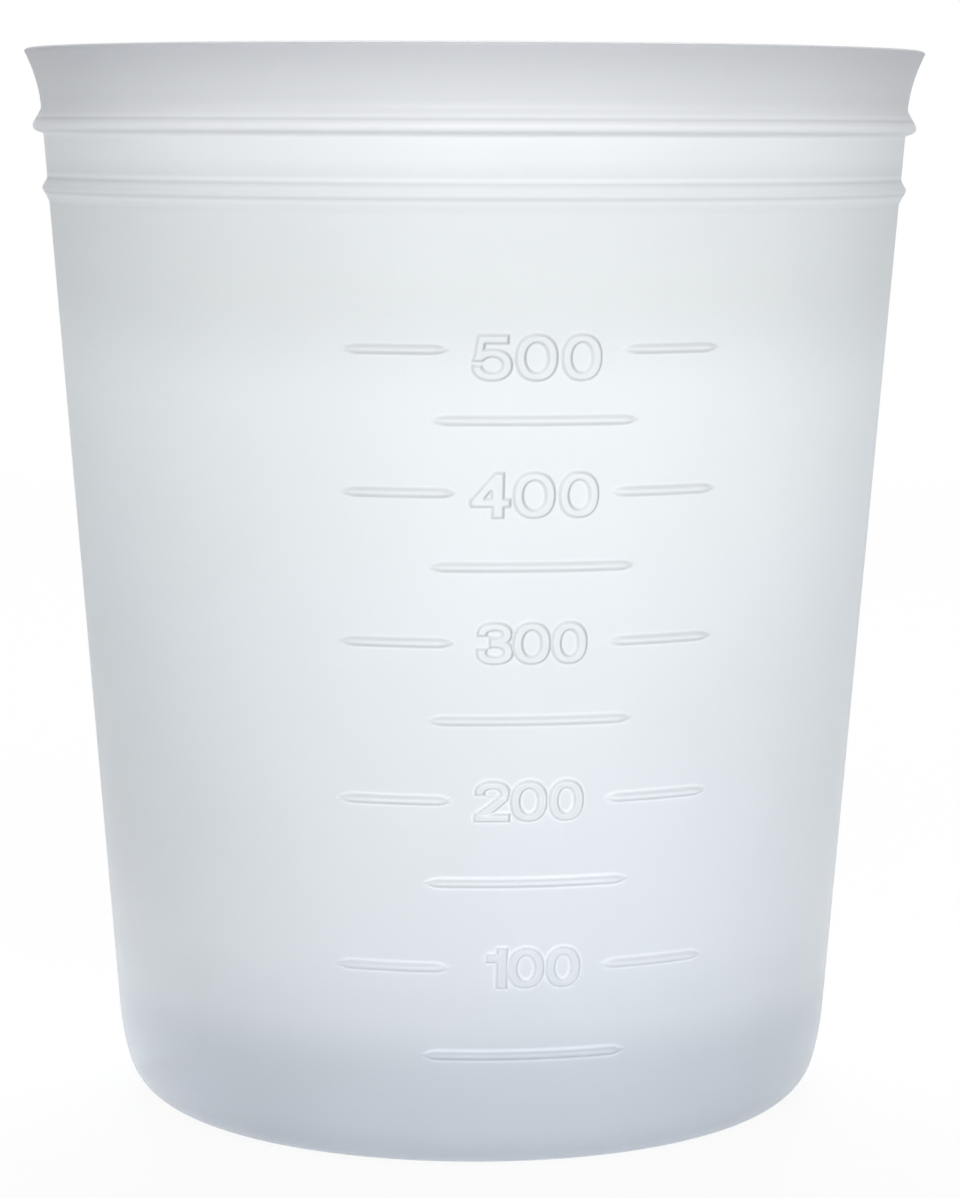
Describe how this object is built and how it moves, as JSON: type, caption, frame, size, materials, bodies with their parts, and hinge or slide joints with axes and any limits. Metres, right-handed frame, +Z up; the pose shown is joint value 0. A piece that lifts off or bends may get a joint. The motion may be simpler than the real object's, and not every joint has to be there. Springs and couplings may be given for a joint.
{
  "type": "resin mixing cup",
  "caption": "Straight-tapered mixing cup in frosted silicone with a flared pouring rim, grip beads and a raised millilitre scale.",
  "frame": {"origin": "centre of the flat base, on the surface the cup stands on", "axes": "+Z up along the cup's axis, out of its mouth; -Y is the side with the raised scale; +X to the right when the scale is read"},
  "size_m": [0.1036, 0.1036, 0.1222],
  "materials": {
    "silicone": "frosted, translucent, satin"
  },
  "bodies": {
    "root": {"cup": "silicone"}
  },
  "joints": []
}
